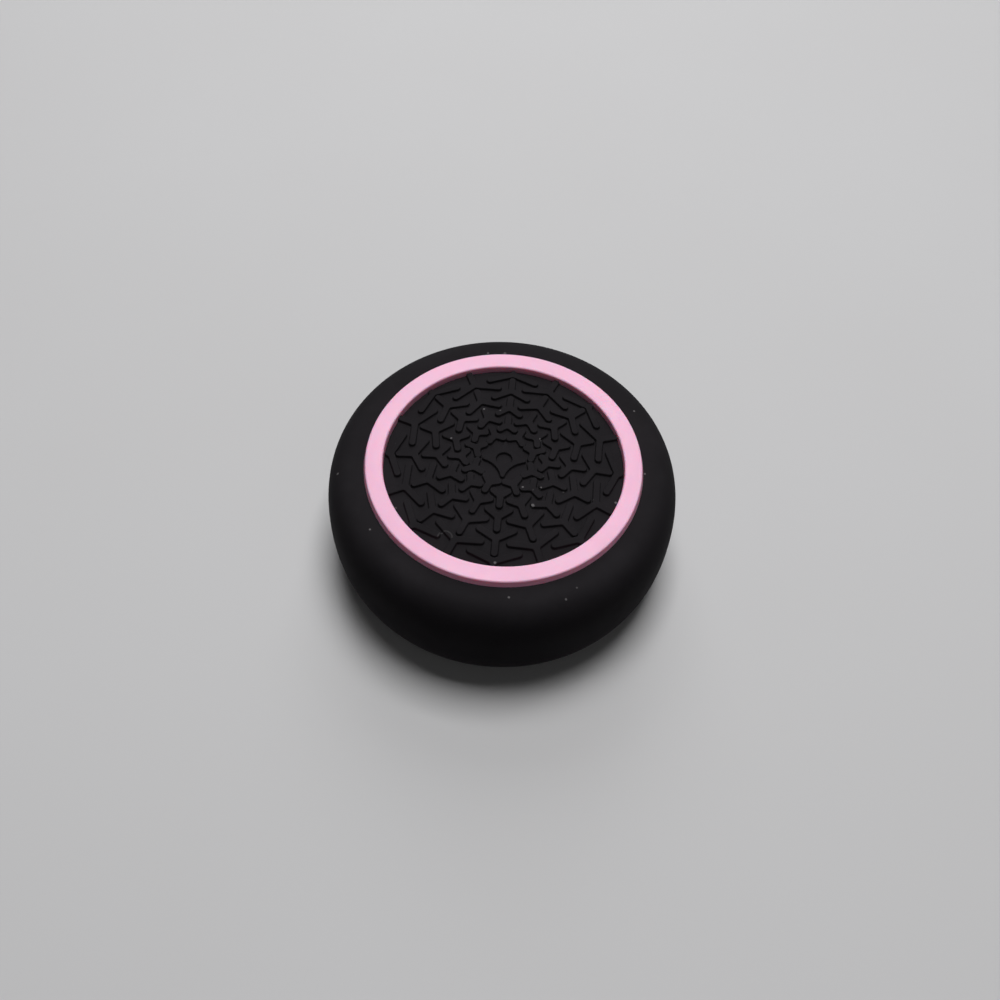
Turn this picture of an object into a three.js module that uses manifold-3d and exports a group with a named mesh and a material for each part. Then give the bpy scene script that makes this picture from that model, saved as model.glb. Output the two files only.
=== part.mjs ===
import * as THREE from 'three';
import { mergeVertices } from 'three/addons/utils/BufferGeometryUtils.js';
import Module from 'manifold-3d';

// A thumb grip that stretches over the head of an analogue stick: a moulded
// silicone cap with a domed tread of three-armed studs, and a coloured ring
// bonded into a groove around the tread. Millimetres, +Z up, and the origin
// is the middle of the flat underside.

// Cap, from the tread outwards
const treadRadius = 7.4; // edge of the tread, at the groove
const shoulderWidth = 0.65; // flat land outside the groove
const capBulge = 1.8; // how far the flank swells past the shoulder
const sideWall = 2.3; // wall between the flank's widest line and the head
const lipOverhang = 1.9; // how far the lip reaches in under the head
const footWidth = 1.3; // flat underside of the lip
const flankFullness = 2.5; // exponent of the flank's two rounded quarters

// Cap, from the underside upwards
const lipThickness = 1.6;
const headSpace = 4.6; // height of the space that holds the stick's head
const roofThickness = 1.1; // between the head and the groove's floor
const grooveDepth = 0.85; // below the shoulder
const waistHeight = 4.6; // where the flank is widest
const cavityFillet = 0.8;
const lipFillet = 0.45;

// Ring
const ringWidth = 1.05;
const ringProud = 0.45; // how far it stands above the shoulder
const ringFillet = 0.15;
const ringClearance = 0.05; // beside the ring, each way

// Tread
const treadDrop = 0.48; // tread's edge below the ring's top
const treadRise = 0.5; // middle of the tread above its edge
const studHeight = 0.2;
const studRoot = 0.3; // how deep a stud is rooted in the dome
const treadRoot = 0.3; // how deep the dome is rooted in the roof
const domeSpare = 0.1; // dome outside the tread's edge, before it is cut round
const studArmWidth = 0.4;
const studsPerRow = 8;
const studRows = 8;
const firstRowRadius = 1.93; // from the middle to the fork of the first row
const lastRowInset = 0.4; // from the tread's edge to the fork of the last row

// Arms of a stud: the stem points outwards, the two forks inwards
const stemStart = 0.5; // length of a stem, before its row adds to it
const stemGrowth = 0.075; // added row by row
const lastStem = 0.15; // length of the last row's stems, which have no room
const forkSpreadLeast = 0.45; // sideways reach of a fork
const forkSteepness = 0.79; // inward reach for each mm sideways
const forkReachMost = 0.61; // inward reach of a fork at most
const forkTurn = [8.8, 10.5]; // degrees about the middle, in the even rows and in the odd rows
const forkTurnGrowth = 0.5; // degrees, added row by row

// Hub: a star with concave sides round a small pit
const hubArms = 4;
const hubReach = 1.2; // from the middle to the round tips' own middles
const hubTipRadius = 0.12;
const hubValleyRadius = 0.74; // where the sides come closest to the middle
const hubPitRadius = 0.5;

// Facets
const roundSegments = 48;
const cornerSegments = 2;
const flankSegments = 6;
const domeSides = 24;
const domeSteps = 3;
const armEndSegments = 2; // in each quarter of a round end

// Radii and heights that follow
const ringInner = treadRadius + ringClearance;
const ringOuter = ringInner + ringWidth;
const grooveOuter = ringOuter + ringClearance;
const shoulderRadius = grooveOuter + shoulderWidth;
const capRadius = shoulderRadius + capBulge;
const cavityRadius = capRadius - sideWall;
const neckRadius = cavityRadius - lipOverhang;
const footRadius = neckRadius + footWidth;
const cavityTop = lipThickness + headSpace;
const grooveFloor = cavityTop + roofThickness;
const shoulderHeight = grooveFloor + grooveDepth;
const ringTop = shoulderHeight + ringProud;
const treadEdgeHeight = ringTop - treadDrop;
const domeRootHeight = grooveFloor - treadRoot;
const rowPitch = (treadRadius - lastRowInset - firstRowRadius) / (studRows - 1);

const { Manifold, Mesh: SolidMesh } = await loadManifold();

async function loadManifold() {
  const wasm = await Module();
  wasm.setup();
  return wasm;
}

// Height of the tread's floor at a distance from the middle
function treadFloor(radius) {
  return treadEdgeHeight + treadRise * (1 - (radius / treadRadius) ** 2);
}

// A point of a plan, at a distance from the middle and an angle
function polar(radius, angle) {
  return new THREE.Vector2(radius * Math.cos(angle), radius * Math.sin(angle));
}

// A quarter circle's points about a centre, from one angle to another
function corner(centreRadius, centreHeight, fillet, fromDegrees, toDegrees) {
  const points = [];
  for (let step = 0; step <= cornerSegments; step++) {
    const degrees = THREE.MathUtils.lerp(fromDegrees, toDegrees, step / cornerSegments);
    const angle = THREE.MathUtils.degToRad(degrees);
    const radius = centreRadius + fillet * Math.cos(angle);
    const height = centreHeight + fillet * Math.sin(angle);
    points.push(new THREE.Vector2(radius, height));
  }
  return points;
}

// One rounded quarter of the flank, from its flat end to the widest line
function flankQuarter(endRadius, endHeight) {
  const points = [];
  for (let step = 0; step < flankSegments; step++) {
    const angle = (Math.PI / 2) * (step / flankSegments);
    const outward = Math.sin(angle) ** (2 / flankFullness);
    const away = Math.cos(angle) ** (2 / flankFullness);
    const radius = THREE.MathUtils.lerp(endRadius, capRadius, outward);
    const height = THREE.MathUtils.lerp(waistHeight, endHeight, away);
    points.push(new THREE.Vector2(radius, height));
  }
  return points;
}

// The section of the cap without its tread, from the roof of the head's space
// round the lip and the flank to the groove's floor, which runs to the middle
function capProfile() {
  const inside = [
    new THREE.Vector2(0, cavityTop),
    ...corner(cavityRadius - cavityFillet, cavityTop - cavityFillet, cavityFillet, 90, 0),
    ...corner(cavityRadius - lipFillet, lipThickness + lipFillet, lipFillet, 0, -90),
    ...corner(neckRadius + lipFillet, lipThickness - lipFillet, lipFillet, 90, 180),
  ];
  const flank = [
    ...flankQuarter(footRadius, 0),
    new THREE.Vector2(capRadius, waistHeight),
    ...flankQuarter(shoulderRadius, shoulderHeight).reverse(),
  ];
  const groove = [
    new THREE.Vector2(grooveOuter, shoulderHeight),
    new THREE.Vector2(grooveOuter, grooveFloor),
    new THREE.Vector2(0, grooveFloor),
  ];
  return [...inside, new THREE.Vector2(neckRadius, 0), ...flank, ...groove];
}

// The section of the tread's dome, which starts below the groove's floor and
// is wide enough for its flat sides to be cut round
function domeProfile() {
  const widest = treadRadius / Math.cos(Math.PI / domeSides) + domeSpare;
  const points = [new THREE.Vector2(0, domeRootHeight), new THREE.Vector2(widest, domeRootHeight)];
  for (let step = 0; step <= domeSteps; step++) {
    const radius = widest * (1 - step / domeSteps);
    points.push(new THREE.Vector2(radius, treadFloor(radius)));
  }
  return points;
}

// A profile turned about the Z axis
function turned(profile, segments = roundSegments) {
  const geometry = new THREE.LatheGeometry(profile, segments);
  geometry.rotateX(Math.PI / 2);
  return welded(geometry);
}

// The same surface with shared corners and without empty triangles
function welded(geometry) {
  geometry.deleteAttribute('normal');
  geometry.deleteAttribute('uv');
  const merged = mergeVertices(geometry);
  const corners = merged.index.array;
  const kept = [];
  for (let i = 0; i < corners.length; i += 3) {
    const [a, b, c] = corners.subarray(i, i + 3);
    if (a !== b && b !== c && c !== a) kept.push(a, b, c);
  }
  merged.setIndex(kept);
  return merged;
}

function toSolid(geometry) {
  const vertProperties = new Float32Array(geometry.attributes.position.array);
  const triVerts = new Uint32Array(geometry.index.array);
  return new Manifold(new SolidMesh({ numProp: 3, vertProperties, triVerts }));
}

function toGeometry(solid) {
  const { vertProperties, triVerts } = solid.getMesh();
  const geometry = new THREE.BufferGeometry();
  geometry.setAttribute('position', new THREE.BufferAttribute(vertProperties, 3));
  geometry.setIndex(new THREE.BufferAttribute(triVerts, 1));
  geometry.computeVertexNormals();
  return geometry;
}

// Outline of a stud with round arm ends: the arms leave one point, and each
// is given by its far end, anticlockwise
function studOutline(junction, armEnds) {
  const halfWidth = studArmWidth / 2;
  const arms = armEnds.map((end) => end.clone().sub(junction));
  const outline = new THREE.Shape();
  arms.forEach((arm, i) => {
    const before = arms[(i + arms.length - 1) % arms.length];
    const between = THREE.MathUtils.euclideanModulo(arm.angle() - before.angle(), 2 * Math.PI);
    const bisector = arm.angle() - between / 2;
    const reach = halfWidth / Math.sin(between / 2);
    const x = junction.x + reach * Math.cos(bisector);
    const y = junction.y + reach * Math.sin(bisector);
    if (i === 0) outline.moveTo(x, y);
    else outline.lineTo(x, y);
    const side = Math.PI / 2;
    outline.absarc(armEnds[i].x, armEnds[i].y, halfWidth, arm.angle() - side, arm.angle() + side);
  });
  return outline;
}

// Outline of the hub: each concave side is an arc that runs smoothly into the
// round tips of the arms on both sides of it
function hubOutline() {
  const halfStep = Math.PI / hubArms;
  const narrow = hubValleyRadius - hubTipRadius;
  const sideCentre =
    (hubReach ** 2 - narrow ** 2) / (2 * (hubReach * Math.cos(halfStep) - narrow));
  const sideX = sideCentre * Math.cos(halfStep);
  const sideY = sideCentre * Math.sin(halfStep);
  const tipTurn = Math.atan2(sideY, sideX - hubReach);
  const outline = new THREE.Shape();
  const pit = new THREE.Path();
  for (let arm = 0; arm < hubArms; arm++) {
    const angle = 2 * halfStep * arm;
    const next = angle + 2 * halfStep;
    const tip = polar(hubReach, angle);
    const side = polar(sideCentre, angle + halfStep);
    const sideRadius = sideCentre - hubValleyRadius;
    const [start, end] = [angle + tipTurn + Math.PI, next - tipTurn + Math.PI];
    outline.absarc(tip.x, tip.y, hubTipRadius, angle - tipTurn, angle + tipTurn);
    outline.absarc(side.x, side.y, sideRadius, start, end, true);
    pit.absarc(0, 0, hubPitRadius, angle, next);
  }
  outline.holes.push(pit);
  return outline;
}

// Outline of a stud on +X
function forkedOutline(forkRadius, stemEnd, forkReach, forkSpread) {
  return studOutline(new THREE.Vector2(forkRadius, 0), [
    new THREE.Vector2(stemEnd, 0),
    new THREE.Vector2(forkRadius - forkReach, forkSpread),
    new THREE.Vector2(forkRadius - forkReach, -forkSpread),
  ]);
}

// An outline raised from the tread's floor and following its dome
function raised(outline) {
  const options = { depth: 1, bevelEnabled: false, curveSegments: armEndSegments };
  const geometry = new THREE.ExtrudeGeometry(outline, options);
  const position = geometry.attributes.position;
  for (let i = 0; i < position.count; i++) {
    const floor = treadFloor(Math.hypot(position.getX(i), position.getY(i)));
    const atTop = position.getZ(i) > 0;
    position.setZ(i, atTop ? floor + studHeight : floor - studRoot);
  }
  return geometry;
}

// A stud of a numbered row: its stem grows and its forks open row by row. The
// last stems but one run out to the ring, and the last ones are hardly there
function rowStud(row) {
  const forkRadius = firstRowRadius + (row - 1) * rowPitch;
  const turn = THREE.MathUtils.degToRad(forkTurn[row % 2] + forkTurnGrowth * row);
  const forkSpread = Math.max(forkSpreadLeast, (forkRadius - forkReachMost) * Math.tan(turn));
  const forkReach = Math.min(forkReachMost, forkSteepness * forkSpread);
  const freeStem = forkRadius + stemStart + stemGrowth * row;
  const stemEnd = row === studRows ? forkRadius + lastStem : Math.min(freeStem, treadRadius);
  return raised(forkedOutline(forkRadius, stemEnd, forkReach, forkSpread));
}

// Copies of a stud round the middle, the first one turned by part of a step
function studCircle(geometry, count, firstStep) {
  const solids = [];
  for (let copy = 0; copy < count; copy++) {
    const placed = geometry.clone().rotateZ((2 * Math.PI * (copy + firstStep)) / count);
    solids.push(toSolid(welded(placed)));
  }
  return solids;
}

// The room inside the groove, so that no stud reaches over the groove
function treadRoom() {
  const top = treadFloor(0) + 2 * studHeight;
  return toSolid(
    turned([
      new THREE.Vector2(0, domeRootHeight),
      new THREE.Vector2(treadRadius, domeRootHeight),
      new THREE.Vector2(treadRadius, top),
      new THREE.Vector2(0, top),
    ]),
  );
}

function treadSolid() {
  const dome = toSolid(turned(domeProfile(), domeSides));
  const studs = [toSolid(welded(raised(hubOutline())))];
  for (let row = 1; row <= studRows; row++) {
    // Each odd row stands between the columns of the even ones
    studs.push(...studCircle(rowStud(row), studsPerRow, (row % 2) / 2));
  }
  return studs.reduce((all, next) => all.add(next), dome).intersect(treadRoom());
}

function capGeometry() {
  const cap = toSolid(turned(capProfile()));
  return toGeometry(cap.add(treadSolid()));
}

// The ring's section, standing on zero height
function ringProfile() {
  const height = ringTop - grooveFloor;
  const points = [
    new THREE.Vector2(ringInner, 0),
    new THREE.Vector2(ringOuter, 0),
    ...corner(ringOuter - ringFillet, height - ringFillet, ringFillet, 0, 90),
    ...corner(ringInner + ringFillet, height - ringFillet, ringFillet, 90, 180),
  ];
  return [...points, points[0].clone()];
}

function capBody() {
  const silicone = new THREE.MeshStandardMaterial({ color: 0x232325, roughness: 0.7, metalness: 0 });
  const mesh = new THREE.Mesh(capGeometry(), silicone);
  mesh.name = 'cap_body';
  return mesh;
}

function accentRing() {
  const silicone = new THREE.MeshStandardMaterial({ color: 0xf9c2dd, roughness: 0.6, metalness: 0 });
  const mesh = new THREE.Mesh(turned(ringProfile()), silicone);
  mesh.name = 'accent_ring';
  mesh.position.z = grooveFloor;
  return mesh;
}

const thumbGrip = new THREE.Group();
thumbGrip.name = 'thumb_grip';
thumbGrip.add(capBody(), accentRing());

export default thumbGrip;
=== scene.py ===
"""Looks of a thumb grip for an analogue stick: a black silicone cap with a domed
tread of three-armed studs, and a pink silicone ring set around the tread."""

import math

import bmesh
import bpy
from mathutils import Matrix, Vector


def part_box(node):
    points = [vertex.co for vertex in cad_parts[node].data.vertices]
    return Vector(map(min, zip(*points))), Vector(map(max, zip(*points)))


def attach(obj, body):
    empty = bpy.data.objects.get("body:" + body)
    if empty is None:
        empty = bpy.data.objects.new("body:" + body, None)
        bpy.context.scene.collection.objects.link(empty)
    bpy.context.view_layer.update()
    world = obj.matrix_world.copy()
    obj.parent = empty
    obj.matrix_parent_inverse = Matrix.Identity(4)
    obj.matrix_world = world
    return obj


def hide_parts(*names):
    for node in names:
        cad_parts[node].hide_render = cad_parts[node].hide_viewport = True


MM = 0.001

# Cap, in millimetres, with the same meaning as on the solid part
SHOULDER_WIDTH = 0.65
SIDE_WALL = 2.3
LIP_OVERHANG = 1.9
FOOT_WIDTH = 1.3
FLANK_FULLNESS = 2.5
LIP_THICKNESS = 1.6
WAIST_HEIGHT = 4.6
ROOF_THICKNESS = 1.1
RING_PROUD = 0.45
RING_WIDTH = 1.05
RING_CLEARANCE = 0.05
CAVITY_FILLET = 0.8
LIP_FILLET = 0.45

# Soft moulded edges, in millimetres; a spare widens the ring on each side
NECK_EDGE = 0.2
SHOULDER_EDGE = 0.09
TREAD_EDGE = 0.06
RING_TOP_EDGE = 0.12
RING_FOOT_EDGE = 0.04
RING_TOP_SPARE = 0.01
RING_FOOT_SPARE = 0.06
RING_SKIRT_WIDTH = 0.05
RING_SKIRT_HEIGHT = 0.09

# Tread and its studs, in millimetres and degrees
TREAD_DROP = 0.48
TREAD_RISE = 0.5
STUD_HEIGHT = 0.2
STUD_ARM_WIDTH = 0.4
STUDS_PER_ROW = 8
STUD_ROWS = 8
FIRST_ROW_RADIUS = 1.93
LAST_ROW_INSET = 0.4
LAST_STEM = 0.15
STEM_START = 0.5
STEM_GROWTH = 0.075
FORK_SPREAD_LEAST = 0.45
FORK_STEEPNESS = 0.79
FORK_REACH_MOST = 0.61
FORK_TURN = (8.8, 10.5)  # in the even rows and in the odd rows
FORK_TURN_GROWTH = 0.5
HUB_ARMS = 4
HUB_REACH = 1.2
HUB_TIP_RADIUS = 0.12
HUB_VALLEY_RADIUS = 0.74
HUB_PIT_RADIUS = 0.5
HUB_LEAST_OUT = -0.06  # keeps the narrow tips from closing up at the crown

# Section of a stud's side, in millimetres
STUD_FOOT_FLARE = 0.08
STUD_DRAFT = 0.02
STUD_CROWN_WIDTH = 0.045
STUD_CROWN_HEIGHT = 0.045
STUD_SUNK = 0.01
STUD_CREVICE = 0.15
STUD_REACH_PAST = 0.04
STUD_UNEVEN = 0.008  # share of the height, for each half step round the middle
STUD_UNEVEN_CYCLE = 4.0  # half steps after which the heights repeat

# Fineness of the meshes
ROUND_STEPS = 192
FLANK_STEPS = 36
DOME_STEPS = 24
EDGE_STEPS = 5
ARM_END_STEPS = 8
CREVICE_STEPS = 4
CROWN_STEPS = 5
FLARE_STEPS = 4
HUB_SIDE_STEPS = 12
SHARP_FROM = math.radians(42)
ON_AXIS = 1e-6  # a point this close to the axis, in millimetres, lies on it
WELD_DISTANCE = 1e-4  # in millimetres

# Camera, in degrees, millimetres and pixels: where it stands, seen from the ring's
# centre, and where that centre is in the picture
CAMERA_AZIMUTH = 2.32
CAMERA_ELEVATION = 54.96
CAMERA_ROLL = 3.26
CAMERA_DISTANCE = 76.5
PICTURE_WIDTH = 1000
FOCAL_PIXELS = 1246.0
RING_CENTRE_PIXEL = (504.0, 461.0)
SENSOR_WIDTH = 36.0
CAMERA_NEAR = 5.0
CAMERA_FAR = 20000.0

# Linear colours
CAP_BLACK = (0.0144, 0.0131, 0.0148, 1)
CAP_BLOOM = (0.0186, 0.017, 0.0191, 1)
RING_PINK = (0.95, 0.54, 0.72, 1)
RING_PINK_FILMED = (0.945, 0.525, 0.705, 1)
# Painted bounce light: a deeper pink for the ring's sides, standing in for the reddened light
# that bounces between and shines through the silicone walls
RING_SIDE_PAINTED_BOUNCE_PINK = (0.98, 0.4, 0.58, 1)
DUST_PALE = (0.2, 0.19, 0.195, 1)
FLOOR_PALE = (0.62, 0.62, 0.63, 1)
FLOOR_PALE_WARM = (0.60, 0.595, 0.60, 1)
FLOOR_BOUNCE = (0.04, 0.037, 0.039, 1)
WORLD_PALE = (1.0, 1.0, 1.0, 1)
BLACK = (0.0, 0.0, 0.0, 1)

# Floor and backdrop: distances in millimetres, and the strength of the light
FLOOR_HALF_WIDTH = 3000.0
FLOOR_FADE_START = 95.0
FLOOR_FADE_END = 230.0
FLOOR_CLOUDS = 40.0  # scale of the noise, per metre
FLOOR_ROUGHNESS = 0.75
FLOOR_SPECULAR = 0.2
WORLD_STRENGTH = 0.03
BACKDROP_STRENGTH = 0.5

# Noise of the grain and the film, with its scale per metre, and how much each counts
GRAIN_FINE = {"Scale": 9000.0, "Detail": 2.0, "Roughness": 0.6}
GRAIN_BROAD = {"Scale": 1500.0, "Detail": 1.0, "Roughness": 0.5}
GRAIN_BROAD_SHARE = 0.6
FILM_PATCHES = {"Scale": 260.0, "Detail": 3.0, "Roughness": 0.55, "Distortion": 0.6}
FILM_SMEARS = {"Scale": 1100.0, "Detail": 2.0, "Roughness": 0.5}
FILM_SMEAR_SHARE = 0.35
FILM_RANGE = (0.5, 0.9)

# Finish of each surface: a silicone's roughness is given without and with film, and
# its grain's depth and the depth that light reaches in it are in millimetres
CAP_ROUGHNESS = (0.7, 0.8)
CAP_SPECULAR = 0.03
CAP_GRAIN = 0.004
CAP_DUST = 0.6
RING_ROUGHNESS = (0.42, 0.52)
RING_SPECULAR = 0.4
RING_GRAIN = 0.003
RING_DUST = 0.35
RING_DEPTH_SHARE = 0.5
RING_DEPTH = 0.3
RING_DEPTH_BY_COLOUR = (0.8, 0.2, 0.3)
RING_PAINTED_BOUNCE_START = 0.12  # below the ring's top, where the sides' painted bounce light, a deeper pink, is full
RING_PAINTED_BOUNCE_END = 0.04  # and where it has faded out

# Lamps: azimuth and elevation in degrees, distance and size in metres, power in watts
LAMPS = {
    "key_above": (168, 79, 0.3, 0.13, 0.64),
    "back": (185, 40, 0.25, 0.15, 0.167),
    "fill_front": (20, 38, 0.2, 0.16, 0.015),
}

# Dust, in millimetres: the specks that catch the eye as x, y and radius, a curled
# fibre, and a scatter that is denser over the middle of the tread
DUST_SPECKS = (
    (2.0, -3.1, 0.13),
    (-0.7, 8.9, 0.11),
    (7.0, -2.0, 0.1),
    (0.1, -7.1, 0.1),
    (2.1, 1.8, 0.08),
    (1.3, -1.9, 0.08),
    (2.4, -1.8, 0.08),
    (-1.6, 3.8, 0.08),
    (-3.4, 1.3, 0.08),
    (-10.1, -1.5, 0.09),
    (-7.5, -5.5, 0.08),
    (-1.8, 8.8, 0.08),
    (1.1, -9.2, 0.09),
    (4.4, -8.9, 0.08),
    (8.7, 0.3, 0.08),
    (7.9, 5.1, 0.08),
)
FIBRE_CENTRE = (-3.0, -5.75)
FIBRE_RADIUS = 0.43
FIBRE_WIDTH = 0.05
FIBRE_STRENGTH = 0.25
DUST_RAGGED = 0.05  # how unevenly the edges of specks are drawn
DUST_RAGGED_SCALE = 14000.0  # of that unevenness, per metre
DUST_SPACING = 0.62
DUST_CELL_SHARE = (0.05, 0.12)  # a speck's core and its edge, as shares of the spacing
DUST_SCATTER_STRENGTH = 0.6
DUST_SHARE_OUTSIDE = 0.035  # how many of the scatter's cells hold a speck
DUST_SHARE_MIDDLE = 0.2
DUST_MIDDLE_RADIUS = 3.2
DUST_OUTSIDE_RADIUS = 5.2
DUST_LOWEST = 6.5  # height of the lowest dust, which keeps it off the inside

# The colour sockets of a Mix node, by number, and the middle colour of noise
MIX_FIRST, MIX_SECOND, MIX_RESULT = 6, 7, 2
NOISE_MIDDLE = (0.5, 0.5, 0.5)


def polar(radius, angle):
    """A point at a radius and an angle, in the plane."""
    return Vector((radius * math.cos(angle), radius * math.sin(angle)))


def towards(azimuth, elevation):
    """A direction from its angles in degrees; azimuth 0 is on the camera's side."""
    turn, rise = math.radians(azimuth), math.radians(elevation)
    level = Vector((math.sin(turn), -math.cos(turn), 0)) * math.cos(rise)
    return level + Vector((0, 0, math.sin(rise)))


def new_object(name, data):
    """An object in the scene."""
    result = bpy.data.objects.new(name, data)
    bpy.context.scene.collection.objects.link(result)
    return result


def arc(centre, radius, start, end, steps):
    """Points of an arc, both ends included."""
    return [
        centre + polar(radius, start + (end - start) * step / steps)
        for step in range(steps + 1)
    ]


def softened(corner, before, after, fillet):
    """A profile's corner rounded off between its two neighbours."""
    towards_before = (before - corner).normalized()
    towards_after = (after - corner).normalized()
    half_angle = towards_before.angle(towards_after) / 2
    setback = fillet / math.tan(half_angle)
    bisector = (towards_before + towards_after).normalized()
    centre = corner + bisector * (fillet / math.sin(half_angle))
    first = corner + towards_before * setback
    last = corner + towards_after * setback
    turn = (first - centre).angle_signed(last - centre)
    start = math.atan2(*(first - centre).yx)
    between = arc(centre, fillet, start, start - turn, EDGE_STEPS)[1:-1]
    return [first, *between, last]


def softened_profile(corners):
    """Turns (radius, height, fillet) corners into points; a fillet of 0 stays sharp."""
    places = [Vector(corner[:2]) for corner in corners]
    points = []
    for index, (place, corner) in enumerate(zip(places, corners)):
        fillet = corner[2]
        if fillet:
            after = places[(index + 1) % len(places)]
            points += softened(place, places[index - 1], after, fillet)
        else:
            points.append(place)
    return points


def flank_quarter(end_radius, end_height, cap_radius):
    """Points of one rounded quarter of the flank, from its flat end to the waist."""
    points = []
    for step in range(FLANK_STEPS):
        angle = math.pi / 2 * step / FLANK_STEPS
        outward = math.sin(angle) ** (2 / FLANK_FULLNESS)
        away = math.cos(angle) ** (2 / FLANK_FULLNESS)
        radius = end_radius + (cap_radius - end_radius) * outward
        height = WAIST_HEIGHT + (end_height - WAIST_HEIGHT) * away
        points.append(Vector((radius, height)))
    return points


def turned_mesh(name, profile, closed=False):
    """A mesh in metres from a profile in millimetres, turned about the Z axis.

    A closed profile makes a ring; an open one starts and ends on the axis.
    """
    bm = bmesh.new()
    rings = []
    for point in profile:
        if point.x < ON_AXIS:
            rings.append([bm.verts.new((0, 0, point.y * MM))])
            continue
        ring = []
        for step in range(ROUND_STEPS):
            place = polar(point.x * MM, 2 * math.pi * step / ROUND_STEPS)
            ring.append(bm.verts.new((place.x, place.y, point.y * MM)))
        rings.append(ring)
    followers = rings[1:] + (rings[:1] if closed else [])
    for ring, follower in zip(rings, followers):
        for step in range(ROUND_STEPS):
            after = (step + 1) % ROUND_STEPS
            corners = [ring[step % len(ring)], ring[after % len(ring)]]
            corners += [follower[after % len(follower)], follower[step % len(follower)]]
            bm.faces.new(tuple(dict.fromkeys(corners)))
    bmesh.ops.recalc_face_normals(bm, faces=bm.faces)
    return finished_mesh(name, bm)


def finished_mesh(name, bm):
    """A mesh from a bmesh, which is freed; it is smooth except over sharp edges."""
    mesh = bpy.data.meshes.new(name)
    bm.to_mesh(mesh)
    bm.free()
    mesh.shade_smooth()
    mesh.set_sharp_from_angle(angle=SHARP_FROM)
    return mesh


class Sizes:
    """The grip's heights and radii in millimetres, from the solids and the values above."""

    def __init__(self):
        cap_low, cap_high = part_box("cap_body")
        ring_low, ring_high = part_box("accent_ring")
        self.cap_radius = (cap_high.x - cap_low.x) / 2 / MM
        self.ring_outer = (ring_high.x - ring_low.x) / 2 / MM
        self.ring_inner = self.ring_outer - RING_WIDTH
        self.ring_foot = ring_low.z / MM
        self.ring_top = ring_high.z / MM
        self.tread_radius = self.ring_inner - RING_CLEARANCE
        self.groove_outer = self.ring_outer + RING_CLEARANCE
        self.shoulder_radius = self.groove_outer + SHOULDER_WIDTH
        self.shoulder_height = self.ring_top - RING_PROUD
        self.cavity_radius = self.cap_radius - SIDE_WALL
        self.cavity_top = self.ring_foot - ROOF_THICKNESS
        self.neck_radius = self.cavity_radius - LIP_OVERHANG
        self.foot_radius = self.neck_radius + FOOT_WIDTH
        self.tread_edge = self.ring_top - TREAD_DROP
        last_row_radius = self.tread_radius - LAST_ROW_INSET
        self.row_pitch = (last_row_radius - FIRST_ROW_RADIUS) / (STUD_ROWS - 1)

    def tread_floor(self, radius):
        """Height of the tread's floor at a distance from the middle."""
        return self.tread_edge + TREAD_RISE * (1 - (radius / self.tread_radius) ** 2)


def cap_profile(sizes):
    """The cap's whole section, from the roof inside round to the middle of the tread."""
    inside = softened_profile([
        (0, sizes.cavity_top, 0),
        (sizes.cavity_radius, sizes.cavity_top, CAVITY_FILLET),
        (sizes.cavity_radius, LIP_THICKNESS, LIP_FILLET),
        (sizes.neck_radius, LIP_THICKNESS, LIP_FILLET),
        (sizes.neck_radius, 0, NECK_EDGE),
        (sizes.foot_radius, 0, 0),
    ])
    lower = flank_quarter(sizes.foot_radius, 0, sizes.cap_radius)[1:]
    waist = [Vector((sizes.cap_radius, WAIST_HEIGHT))]
    upper = flank_quarter(sizes.shoulder_radius, sizes.shoulder_height, sizes.cap_radius)
    groove = softened_profile([
        (sizes.shoulder_radius, sizes.shoulder_height, 0),
        (sizes.groove_outer, sizes.shoulder_height, SHOULDER_EDGE),
        (sizes.groove_outer, sizes.ring_foot, 0),
        (sizes.tread_radius, sizes.ring_foot, 0),
        (sizes.tread_radius, sizes.tread_edge, TREAD_EDGE),
        (0, sizes.tread_edge, 0),
    ])[1:-1]
    edge_radius = sizes.tread_radius - TREAD_EDGE
    dome = []
    for step in range(1, DOME_STEPS + 1):
        radius = edge_radius * (1 - step / DOME_STEPS)
        dome.append(Vector((radius, sizes.tread_floor(radius))))
    return inside + lower + waist + upper[::-1] + groove + dome


def ring_profile(sizes):
    """The ring's section: soft top edges, sides that widen a little to the foot, and
    a narrow skirt that flares out onto the shoulder."""
    wall_foot = sizes.ring_outer + RING_FOOT_SPARE
    skirt_foot = wall_foot + RING_SKIRT_WIDTH
    return softened_profile([
        (sizes.ring_inner - RING_FOOT_SPARE, sizes.ring_foot, RING_FOOT_EDGE),
        (skirt_foot, sizes.ring_foot, RING_FOOT_EDGE),
        (skirt_foot, sizes.shoulder_height, 0),
        (wall_foot, sizes.shoulder_height + RING_SKIRT_HEIGHT, 0),
        (sizes.ring_outer + RING_TOP_SPARE, sizes.ring_top, RING_TOP_EDGE),
        (sizes.ring_inner - RING_TOP_SPARE, sizes.ring_top, RING_TOP_EDGE),
    ])


def stud_section():
    """How far a stud's side stands out from its outline, and how high, foot to crown."""
    section = []
    for step in range(FLARE_STEPS + 1):
        angle = math.pi / 2 * step / FLARE_STEPS
        out = STUD_DRAFT + STUD_FOOT_FLARE * (1 - math.sin(angle))
        section.append((out, STUD_FOOT_FLARE * (1 - math.cos(angle)) - STUD_SUNK))
    crown_foot = STUD_HEIGHT - STUD_CROWN_HEIGHT
    for step in range(CROWN_STEPS + 1):
        angle = math.pi / 2 * step / CROWN_STEPS
        out = -STUD_CROWN_WIDTH * (1 - math.cos(angle))
        section.append((out, crown_foot + STUD_CROWN_HEIGHT * math.sin(angle)))
    section.append((-STUD_CROWN_WIDTH - STUD_DRAFT, STUD_HEIGHT))
    return section


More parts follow.
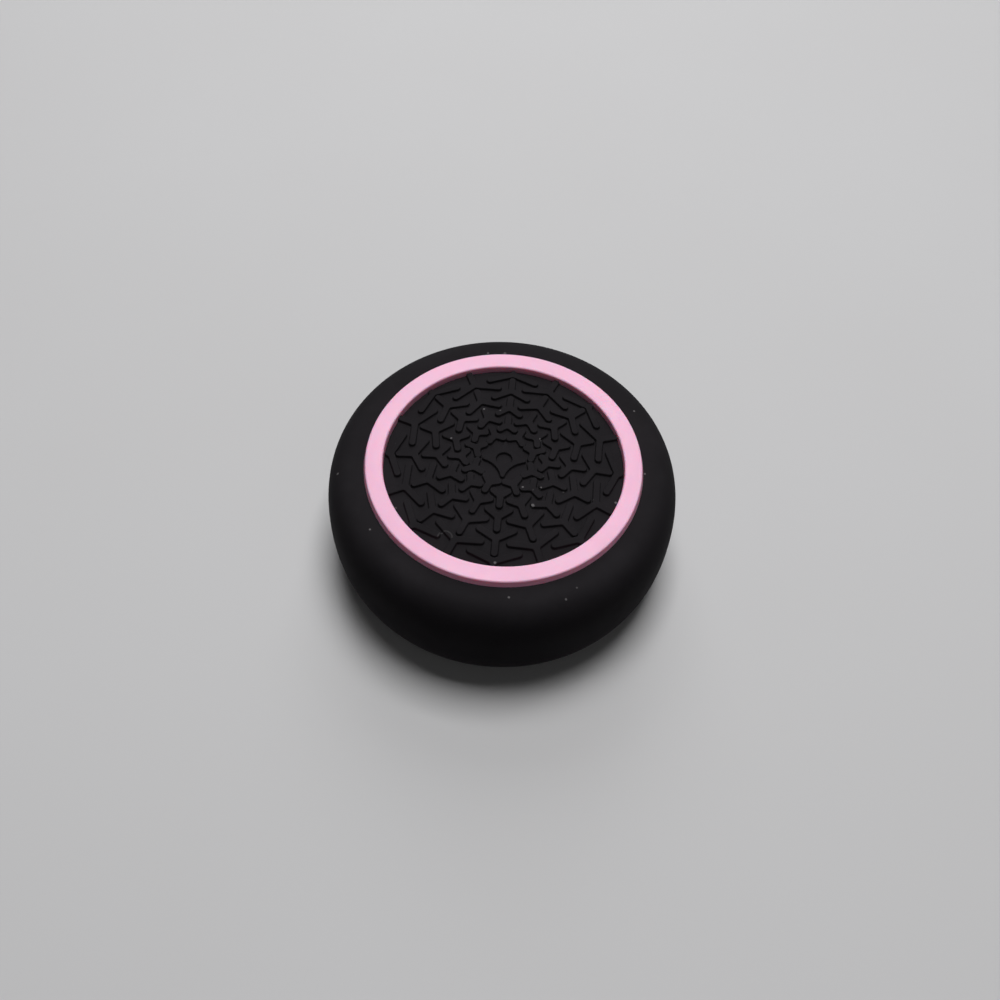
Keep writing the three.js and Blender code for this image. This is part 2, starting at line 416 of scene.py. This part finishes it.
def stud_outline(junction, arm_ends, half_width):
    """Outline round three arms that leave one point, each with a round end.

    The crevices between the arms are rounded about points that stay where they
    are, so outlines of other half widths run beside each other.
    """
    outline = []
    angles = [math.atan2(*(end - junction).yx) for end in arm_ends]
    for index, (end, angle) in enumerate(zip(arm_ends, angles)):
        opening = (angle - angles[index - 1]) % (2 * math.pi)
        reach = (STUD_ARM_WIDTH / 2 + STUD_CREVICE) / math.sin(opening / 2)
        crevice = junction + polar(reach, angle - opening / 2)
        radius = STUD_ARM_WIDTH / 2 + STUD_CREVICE - half_width
        start = angle - opening - math.pi / 2
        stop = angle + math.pi / 2 - 2 * math.pi
        outline += arc(crevice, radius, start, stop, CREVICE_STEPS)
        side = math.pi / 2
        outline += arc(end, half_width, angle - side, angle + side, ARM_END_STEPS)
    return outline


def ring_of_vertices(bm, outline, height):
    """The vertices of an outline in millimetres, at a height."""
    return [bm.verts.new((point.x * MM, point.y * MM, height * MM)) for point in outline]


def join_loops(bm, loops):
    """Walls between loops of the same length, each loop over the one before."""
    for lower, upper in zip(loops, loops[1:]):
        for index in range(len(lower)):
            bm.faces.new((lower[index - 1], lower[index], upper[index], upper[index - 1]))


def closed_stud(name, bm):
    """The finished mesh of a stud, with its doubles merged and its sides facing out."""
    bmesh.ops.remove_doubles(bm, verts=bm.verts, dist=WELD_DISTANCE * MM)
    bmesh.ops.recalc_face_normals(bm, faces=bm.faces)
    return finished_mesh(name, bm)


def stud_mesh(name, fork_radius, stem_end, fork_reach, fork_spread):
    """One stud on +X, a closed shell whose foot is sunk a little below zero height."""
    junction = Vector((fork_radius, 0))
    arm_ends = [
        Vector((stem_end, 0)),
        Vector((fork_radius - fork_reach, fork_spread)),
        Vector((fork_radius - fork_reach, -fork_spread)),
    ]
    bm = bmesh.new()
    loops = []
    for out, height in stud_section():
        outline = stud_outline(junction, arm_ends, STUD_ARM_WIDTH / 2 + out)
        loops.append(ring_of_vertices(bm, outline, height))
    join_loops(bm, loops)
    bm.faces.new(loops[-1])
    bm.faces.new(loops[0][::-1])
    return closed_stud(name, bm)


def hub_outline(out):
    """Outline of the hub's star: round tips, and one smooth arc from tip to tip."""
    half_step = math.pi / HUB_ARMS
    narrow = HUB_VALLEY_RADIUS - HUB_TIP_RADIUS
    to_valley = HUB_REACH * math.cos(half_step) - narrow
    side_centre = (HUB_REACH**2 - narrow**2) / (2 * to_valley)
    to_side = polar(side_centre, half_step) - Vector((HUB_REACH, 0))
    tip_turn = math.atan2(to_side.y, to_side.x)
    outline = []
    for arm in range(HUB_ARMS):
        angle = 2 * half_step * arm
        tip = polar(HUB_REACH, angle)
        side = polar(side_centre, angle + half_step)
        side_radius = side_centre - HUB_VALLEY_RADIUS - out
        start = angle + tip_turn + math.pi
        stop = angle + 2 * half_step - tip_turn + math.pi
        tip_radius = HUB_TIP_RADIUS + out
        outline += arc(tip, tip_radius, angle - tip_turn, angle + tip_turn, ARM_END_STEPS)
        outline += arc(side, side_radius, start, stop, HUB_SIDE_STEPS)[1:-1]
    return outline


def hub_mesh(name):
    """The hub's star round its pit; its top and foot are strips from the star to the pit."""
    bm = bmesh.new()
    stars, pits = [], []
    for out, height in stud_section():
        outline = hub_outline(max(out, HUB_LEAST_OUT))
        pit = [point.normalized() * (HUB_PIT_RADIUS - out) for point in outline]
        stars.append(ring_of_vertices(bm, outline, height))
        pits.append(ring_of_vertices(bm, pit, height))
    join_loops(bm, stars + pits[::-1] + stars[:1])
    return closed_stud(name, bm)


def row_stud_sizes(sizes, row):
    """Fork radius, stem end, fork reach and fork spread of a stud of a numbered row."""
    fork_radius = FIRST_ROW_RADIUS + (row - 1) * sizes.row_pitch
    turn = math.radians(FORK_TURN[row % 2] + FORK_TURN_GROWTH * row)
    fork_spread = max(FORK_SPREAD_LEAST, (fork_radius - FORK_REACH_MOST) * math.tan(turn))
    fork_reach = min(FORK_REACH_MOST, FORK_STEEPNESS * fork_spread)
    free_stem = fork_radius + STEM_START + STEM_GROWTH * row
    if row == STUD_ROWS:
        stem_end = fork_radius + LAST_STEM
    else:
        stem_end = min(free_stem, sizes.tread_radius)
    return fork_radius, stem_end, fork_reach, fork_spread


def add_node(tree, kind, inputs=(), **settings):
    """A node with its settings; its inputs are values, or sockets to link."""
    node = tree.nodes.new(kind)
    for name, value in settings.items():
        setattr(node, name, value)
    pairs = inputs.items() if isinstance(inputs, dict) else enumerate(inputs)
    for key, value in pairs:
        if isinstance(value, bpy.types.NodeSocket):
            tree.links.new(value, node.inputs[key])
        else:
            node.inputs[key].default_value = value
    return node


def calculate(tree, operation, *values):
    """The result of one Math node."""
    return add_node(tree, "ShaderNodeMath", values, operation=operation).outputs[0]


def flattened(tree, place):
    """A place brought down to zero height."""
    node = add_node(tree, "ShaderNodeVectorMath", [place, (1, 1, 0)], operation="MULTIPLY")
    return node.outputs[0]


def length(tree, vector):
    """The length of a vector."""
    node = add_node(tree, "ShaderNodeVectorMath", [vector], operation="LENGTH")
    return node.outputs["Value"]


def separated(tree, place):
    """The X, Y and Z of a place."""
    return add_node(tree, "ShaderNodeSeparateXYZ", [place]).outputs


def noise(tree, place, settings):
    """The outputs of a noise texture at a place."""
    return add_node(tree, "ShaderNodeTexNoise", {"Vector": place, **settings}).outputs


def object_place(tree):
    """A place on the surface, in its object's coordinates."""
    return add_node(tree, "ShaderNodeTexCoord").outputs["Object"]


def add_sockets(tree, direction, sockets):
    """Named inputs or outputs of a node group, each with its socket type."""
    for name, kind in sockets.items():
        tree.interface.new_socket(name, in_out=direction, socket_type="NodeSocket" + kind)


def stud_circle_tree():
    """Geometry Nodes: copies of a stud round the middle, laid on the tread's dome."""
    tree = bpy.data.node_groups.new("Stud circle", "GeometryNodeTree")
    add_sockets(tree, "INPUT", {
        "Stud": "Geometry",
        "Count": "Int",
        "First step": "Float",
        "Tread radius": "Float",
        "Edge height": "Float",
        "Rise": "Float",
        "Reach": "Float",
        "Material": "Material",
    })
    add_sockets(tree, "OUTPUT", {"Studs": "Geometry"})
    given = tree.nodes.new("NodeGroupInput").outputs
    index = add_node(tree, "GeometryNodeInputIndex").outputs[0]
    steps = calculate(tree, "ADD", index, given["First step"])
    share = calculate(tree, "DIVIDE", steps, given["Count"])
    angle = calculate(tree, "MULTIPLY", share, 2 * math.pi)
    turn = add_node(
        tree, "FunctionNodeAxisAngleToRotation", {"Axis": (0, 0, 1), "Angle": angle}
    )
    points = add_node(tree, "GeometryNodePoints", {"Count": given["Count"]})
    # Studs that cross each other differ by a hair in height, so no tops lie in one plane
    half_steps = calculate(tree, "MULTIPLY", steps, 2.0)
    turns = calculate(tree, "MODULO", half_steps, STUD_UNEVEN_CYCLE)
    tall = calculate(tree, "MULTIPLY_ADD", turns, -STUD_UNEVEN, 1.0)
    scale = add_node(tree, "ShaderNodeCombineXYZ", {"X": 1.0, "Y": 1.0, "Z": tall})
    copies = add_node(tree, "GeometryNodeInstanceOnPoints", {
        "Points": points.outputs[0],
        "Instance": given["Stud"],
        "Rotation": turn.outputs[0],
        "Scale": scale.outputs[0],
    })
    real = add_node(tree, "GeometryNodeRealizeInstances", {"Geometry": copies.outputs[0]})

    position = add_node(tree, "GeometryNodeInputPosition").outputs[0]
    radius = length(tree, flattened(tree, position))
    out_share = calculate(tree, "DIVIDE", radius, given["Tread radius"])
    fall = calculate(tree, "SUBTRACT", 1.0, calculate(tree, "MULTIPLY", out_share, out_share))
    lift = calculate(tree, "MULTIPLY_ADD", fall, given["Rise"], given["Edge height"])
    reach_share = calculate(tree, "DIVIDE", given["Reach"], radius)
    inward = calculate(tree, "MINIMUM", reach_share, 1.0)
    kept = add_node(tree, "ShaderNodeCombineXYZ", {"X": inward, "Y": inward, "Z": 1.0})
    upward = add_node(tree, "ShaderNodeCombineXYZ", {"Z": lift})
    laid = add_node(
        tree, "ShaderNodeVectorMath", [position, kept.outputs[0], upward.outputs[0]],
        operation="MULTIPLY_ADD",
    )
    moved = add_node(tree, "GeometryNodeSetPosition", {
        "Geometry": real.outputs[0],
        "Position": laid.outputs[0],
    })
    coated = add_node(tree, "GeometryNodeSetMaterial", {
        "Geometry": moved.outputs[0],
        "Material": given["Material"],
    })
    tree.links.new(coated.outputs[0], tree.nodes.new("NodeGroupOutput").inputs["Studs"])
    return tree


def nodes_result(name, mesh, tree, values):
    """The plain mesh that a Geometry Nodes tree makes from a mesh and named values."""
    carrier = new_object(name, mesh)
    modifier = carrier.modifiers.new("Nodes", "NODES")
    modifier.node_group = tree
    for item in tree.interface.items_tree:
        if item.in_out == "INPUT" and item.name in values:
            modifier[item.identifier] = values[item.name]
    depsgraph = bpy.context.evaluated_depsgraph_get()
    result = bpy.data.meshes.new_from_object(carrier.evaluated_get(depsgraph))
    bpy.data.objects.remove(carrier)
    return result


def stud_meshes(sizes, material):
    """The hub and the studs of every row, one mesh for each circle of them."""
    tree = stud_circle_tree()
    circles = [(hub_mesh("hub"), 1, 0.0)]
    for row in range(1, STUD_ROWS + 1):
        stud = stud_mesh("stud", *row_stud_sizes(sizes, row))
        circles.append((stud, STUDS_PER_ROW, (row % 2) / 2))
    meshes = []
    for stud, count, first_step in circles:
        values = {
            "Count": count,
            "First step": first_step,
            "Tread radius": sizes.tread_radius * MM,
            "Edge height": sizes.tread_edge * MM,
            "Rise": TREAD_RISE * MM,
            "Reach": (sizes.tread_radius + STUD_REACH_PAST) * MM,
            "Material": material,
        }
        meshes.append(nodes_result("stud_circle", stud, tree, values))
    return meshes


def piece_from(name, meshes, material):
    """One object at the origin from several meshes, in one material."""
    bm = bmesh.new()
    for mesh in meshes:
        bm.from_mesh(mesh)
    for face in bm.faces:
        face.material_index = 0
    mesh = finished_mesh(name, bm)
    mesh.materials.append(material)
    return new_object(name, mesh)


def camera_turn(azimuth, elevation, roll, pixel):
    """Where the camera stands, as a direction from the point it circles, and its
    rotation, which puts that point at a pixel of the picture."""
    back = towards(azimuth, elevation)
    straight = (-back).to_track_quat("-Z", "Y").to_matrix()
    rolled = straight @ Matrix.Rotation(math.radians(roll), 3, "Z")
    across = (pixel[0] - PICTURE_WIDTH / 2) / FOCAL_PIXELS
    down = (pixel[1] - PICTURE_WIDTH / 2) / FOCAL_PIXELS
    sight = Vector((across, -down, -1))
    aside = sight.rotation_difference(Vector((0, 0, -1))).to_matrix()
    return back, rolled @ aside


def add_camera(sizes):
    """The camera at the photograph's place, with the ring's centre at its pixel."""
    back, turn = camera_turn(
        CAMERA_AZIMUTH, CAMERA_ELEVATION, CAMERA_ROLL, RING_CENTRE_PIXEL
    )
    data = bpy.data.cameras.new("camera")
    data.sensor_width = SENSOR_WIDTH
    data.lens = SENSOR_WIDTH * FOCAL_PIXELS / PICTURE_WIDTH
    data.clip_start = CAMERA_NEAR * MM
    data.clip_end = CAMERA_FAR * MM
    camera = new_object("camera", data)
    place = Vector((0, 0, sizes.ring_top * MM)) + back * CAMERA_DISTANCE * MM
    camera.matrix_world = Matrix.Translation(place) @ turn.to_4x4()
    bpy.context.scene.camera = camera


def effect_group(name, output, effect):
    """A shader group that turns a place into one number, by a function of both."""
    tree = bpy.data.node_groups.new(name, "ShaderNodeTree")
    add_sockets(tree, "INPUT", {"Vector": "Vector"})
    add_sockets(tree, "OUTPUT", {output: "Float"})
    place = tree.nodes.new("NodeGroupInput").outputs["Vector"]
    result = effect(tree, place)
    tree.links.new(result, tree.nodes.new("NodeGroupOutput").inputs[output])
    return tree


def moulded_grain(tree, place):
    """The fine even grain of moulded silicone, as a height."""
    fine = noise(tree, place, GRAIN_FINE)["Fac"]
    broad = noise(tree, place, GRAIN_BROAD)["Fac"]
    return calculate(tree, "MULTIPLY_ADD", broad, GRAIN_BROAD_SHARE, fine)


def handling_film(tree, place):
    """A faint uneven film left by handling, as a mask."""
    patches = noise(tree, place, FILM_PATCHES)["Fac"]
    smears = noise(tree, place, FILM_SMEARS)["Fac"]
    both = calculate(tree, "MULTIPLY_ADD", smears, FILM_SMEAR_SHARE, patches)
    least, most = FILM_RANGE
    film = add_node(tree, "ShaderNodeMapRange", {
        "Value": both, "From Min": least, "From Max": most, "To Min": 0.0, "To Max": 1.0,
    }, interpolation_type="SMOOTHSTEP")
    return film.outputs[0]


def fading(tree, value, start, end):
    """A mask that is 1 up to a start in millimetres and falls softly to 0 at an end."""
    mask = add_node(tree, "ShaderNodeMapRange", {
        "Value": value,
        "From Min": start * MM,
        "From Max": end * MM,
        "To Min": 1.0,
        "To Max": 0.0,
    }, interpolation_type="SMOOTHSTEP")
    return mask.outputs[0]


def level_distance(tree, plan, x, y):
    """How far a place is from a point in millimetres, seen from above."""
    away = add_node(
        tree, "ShaderNodeVectorMath", [plan, (x * MM, y * MM, 0)], operation="DISTANCE"
    )
    return away.outputs["Value"]


def curled_fibre(tree, plan):
    """A mask of a thin fibre that is curled into the upper half of a circle."""
    away = level_distance(tree, plan, *FIBRE_CENTRE)
    off = calculate(tree, "ABSOLUTE", calculate(tree, "SUBTRACT", away, FIBRE_RADIUS * MM))
    line = fading(tree, off, FIBRE_WIDTH / 2, FIBRE_WIDTH)
    upper = calculate(
        tree, "GREATER_THAN", separated(tree, plan)["Y"], FIBRE_CENTRE[1] * MM
    )
    curl = calculate(tree, "MULTIPLY", line, upper)
    return calculate(tree, "MULTIPLY", curl, FIBRE_STRENGTH)


def dust_specks(tree, given):
    """Pale specks of dust, single ones and a sparse scatter, as a mask."""
    ragged = noise(tree, given, {"Scale": DUST_RAGGED_SCALE})["Color"]
    shift = add_node(
        tree, "ShaderNodeVectorMath", [ragged, NOISE_MIDDLE], operation="SUBTRACT"
    )
    bent = add_node(tree, "ShaderNodeVectorMath", {
        0: shift.outputs[0], 1: (DUST_RAGGED * MM,) * 3, 2: given,
    }, operation="MULTIPLY_ADD")
    place = bent.outputs[0]
    cells = add_node(
        tree, "ShaderNodeTexVoronoi", {"Vector": place, "Scale": 1 / (DUST_SPACING * MM)}
    )
    chance = add_node(tree, "ShaderNodeSeparateColor", [cells.outputs["Color"]]).outputs[0]
    plan = flattened(tree, place)
    share = add_node(tree, "ShaderNodeMapRange", {
        "Value": length(tree, plan),
        "From Min": DUST_MIDDLE_RADIUS * MM,
        "From Max": DUST_OUTSIDE_RADIUS * MM,
        "To Min": DUST_SHARE_MIDDLE,
        "To Max": DUST_SHARE_OUTSIDE,
    })
    chosen = calculate(tree, "LESS_THAN", chance, share.outputs[0])
    speck = add_node(tree, "ShaderNodeMapRange", {
        "Value": cells.outputs["Distance"],
        "From Min": DUST_CELL_SHARE[0],
        "From Max": DUST_CELL_SHARE[1],
        "To Min": DUST_SCATTER_STRENGTH,
        "To Max": 0.0,
    })
    mask = calculate(tree, "MULTIPLY", chosen, speck.outputs[0])
    mask = calculate(tree, "MAXIMUM", mask, curled_fibre(tree, plan))
    for x, y, radius in DUST_SPECKS:
        speck = fading(tree, level_distance(tree, plan, x, y), radius / 2, radius)
        mask = calculate(tree, "MAXIMUM", mask, speck)
    on_top = calculate(tree, "GREATER_THAN", separated(tree, given)["Z"], DUST_LOWEST * MM)
    return calculate(tree, "MULTIPLY", mask, on_top)


def surface_effects(tree, groups):
    """The outputs of the shared groups in a material, each read on Object coordinates."""
    place = object_place(tree)
    outputs = {}
    for group in groups:
        node = add_node(tree, "ShaderNodeGroup", node_tree=group)
        tree.links.new(place, node.inputs["Vector"])
        outputs[node.outputs[0].name] = node.outputs[0]
    return outputs


def mixed_colour(tree, factor, first, second):
    """The colour between two, each a colour or a socket."""
    node = add_node(tree, "ShaderNodeMix", {
        "Factor": factor, MIX_FIRST: first, MIX_SECOND: second,
    }, data_type="RGBA")
    return node.outputs[MIX_RESULT]


def silicone(name, groups, colours, roughness, grain_depth, dust_strength):
    """A matte silicone in two close colours, with grain, film and dust."""
    material = bpy.data.materials.new(name)
    material.use_nodes = True
    tree = material.node_tree
    shader = tree.nodes["Principled BSDF"]
    effects = surface_effects(tree, groups)
    body = mixed_colour(tree, effects["Film"], *colours)
    dust = calculate(tree, "MULTIPLY", effects["Dust"], dust_strength)
    tree.links.new(mixed_colour(tree, dust, body, DUST_PALE), shader.inputs["Base Color"])
    least, most = roughness
    rough = calculate(tree, "MULTIPLY_ADD", effects["Film"], most - least, least)
    tree.links.new(calculate(tree, "MAXIMUM", rough, dust), shader.inputs["Roughness"])
    bump = add_node(tree, "ShaderNodeBump", {
        "Strength": 1.0, "Distance": grain_depth * MM, "Height": effects["Height"],
    })
    tree.links.new(bump.outputs[0], shader.inputs["Normal"])
    return material, shader


def cap_silicone(groups):
    """Matte black silicone of the cap."""
    material, shader = silicone(
        "black_silicone", groups, (CAP_BLACK, CAP_BLOOM), CAP_ROUGHNESS, CAP_GRAIN, CAP_DUST
    )
    shader.inputs["Specular IOR Level"].default_value = CAP_SPECULAR
    return material


def ring_silicone(groups, top_height):
    """Pink silicone of the ring, with painted bounce light on its sides as a deeper pink; it
    lets a little light through.
    """
    colours = (RING_PINK, RING_PINK_FILMED)
    material, shader = silicone(
        "pink_silicone", groups, colours, RING_ROUGHNESS, RING_GRAIN, RING_DUST
    )
    tree = material.node_tree
    height = separated(tree, object_place(tree))["Z"]
    # Painted bounce light: below the top, the sides turn a deeper pink that stands in for
    # reddened light between and through the walls
    side = fading(tree, height, top_height - RING_PAINTED_BOUNCE_START, top_height - RING_PAINTED_BOUNCE_END)
    colour_input = shader.inputs["Base Color"]
    top = colour_input.links[0].from_socket
    tree.links.new(mixed_colour(tree, side, top, RING_SIDE_PAINTED_BOUNCE_PINK), colour_input)
    shader.inputs["Specular IOR Level"].default_value = RING_SPECULAR
    shader.inputs["Subsurface Weight"].default_value = RING_DEPTH_SHARE
    shader.inputs["Subsurface Radius"].default_value = RING_DEPTH_BY_COLOUR
    shader.inputs["Subsurface Scale"].default_value = RING_DEPTH * MM
    return material


def seen_ray(tree):
    """1 for rays that show how a surface looks, 0 for those that only carry light."""
    ray = add_node(tree, "ShaderNodeLightPath").outputs
    seen = calculate(tree, "MAXIMUM", ray["Is Camera Ray"], ray["Is Glossy Ray"])
    return calculate(tree, "MAXIMUM", seen, ray["Is Transmission Ray"])


def floor_material():
    """Plain pale matte floor with a very slight unevenness.

    Far from the grip it passes into the backdrop's colour, which lights nothing.
    """
    material = bpy.data.materials.new("pale_floor")
    material.use_nodes = True
    tree = material.node_tree
    shader = tree.nodes["Principled BSDF"]
    place = object_place(tree)
    clouds = noise(tree, place, {"Scale": FLOOR_CLOUDS})["Fac"]
    pale = mixed_colour(tree, clouds, FLOOR_PALE, FLOOR_PALE_WARM)
    near = fading(tree, length(tree, place), FLOOR_FADE_START, FLOOR_FADE_END)
    seen = seen_ray(tree)
    lit = mixed_colour(tree, near, BLACK, pale)
    tree.links.new(mixed_colour(tree, seen, FLOOR_BOUNCE, lit), shader.inputs["Base Color"])
    far = calculate(tree, "SUBTRACT", 1.0, near)
    shown = calculate(tree, "MULTIPLY", far, seen)
    glow = calculate(tree, "MULTIPLY", shown, BACKDROP_STRENGTH)
    shader.inputs["Emission Color"].default_value = WORLD_PALE
    tree.links.new(glow, shader.inputs["Emission Strength"])
    shader.inputs["Roughness"].default_value = FLOOR_ROUGHNESS
    shader.inputs["Specular IOR Level"].default_value = FLOOR_SPECULAR
    return material


def add_floor():
    """A wide plain floor that the grip stands on."""
    bm = bmesh.new()
    bmesh.ops.create_grid(bm, x_segments=1, y_segments=1, size=FLOOR_HALF_WIDTH * MM)
    mesh = bpy.data.meshes.new("floor")
    bm.to_mesh(mesh)
    bm.free()
    mesh.materials.append(floor_material())
    floor = new_object("floor", mesh)


def add_lamp(name, azimuth, elevation, distance, size, power):
    """A soft square lamp that faces the grip."""
    out = towards(azimuth, elevation)
    data = bpy.data.lights.new(name, "AREA")
    data.size = size
    data.energy = power
    lamp = new_object(name, data)
    facing = (-out).to_track_quat("-Z", "Y").to_matrix().to_4x4()
    lamp.matrix_world = Matrix.Translation(out * distance) @ facing


def add_world():
    """A little plain light from all round, which is seen as a pale backdrop."""
    world = bpy.data.worlds.new("studio")
    world.use_nodes = True
    tree = world.node_tree
    background = tree.nodes["Background"]
    background.inputs["Color"].default_value = WORLD_PALE
    strength = add_node(tree, "ShaderNodeMapRange", {
        "Value": seen_ray(tree), "To Min": WORLD_STRENGTH, "To Max": BACKDROP_STRENGTH,
    })
    tree.links.new(strength.outputs[0], background.inputs["Strength"])
    bpy.context.scene.world = world


def corners(box):
    """A box's two corners as plain lists of numbers."""
    return [list(corner) for corner in box]


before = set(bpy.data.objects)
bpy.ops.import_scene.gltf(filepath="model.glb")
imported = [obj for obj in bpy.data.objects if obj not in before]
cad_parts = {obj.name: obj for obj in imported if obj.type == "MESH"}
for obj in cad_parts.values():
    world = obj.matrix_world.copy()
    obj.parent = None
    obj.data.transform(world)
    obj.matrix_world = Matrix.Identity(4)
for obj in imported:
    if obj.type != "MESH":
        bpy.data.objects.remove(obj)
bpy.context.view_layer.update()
grip = Sizes()

effect_groups = (
    effect_group("Moulded grain", "Height", moulded_grain),
    effect_group("Handling film", "Film", handling_film),
    effect_group("Dust specks", "Dust", dust_specks),
)
black = cap_silicone(effect_groups)
pink = ring_silicone(effect_groups, grip.ring_top)

cap_shell = turned_mesh("cap_shell", cap_profile(grip))
cap = piece_from("grip_cap", [cap_shell] + stud_meshes(grip, black), black)
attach(cap, "root")
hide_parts("cap_body")

ring = piece_from("grip_ring", [turned_mesh("ring", ring_profile(grip), closed=True)], pink)
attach(ring, "root")
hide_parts("accent_ring")

add_floor()
for lamp_name, lamp_setting in LAMPS.items():
    add_lamp(lamp_name, *lamp_setting)
add_world()
add_camera(grip)
bpy.context.scene.view_settings.view_transform = "Standard"
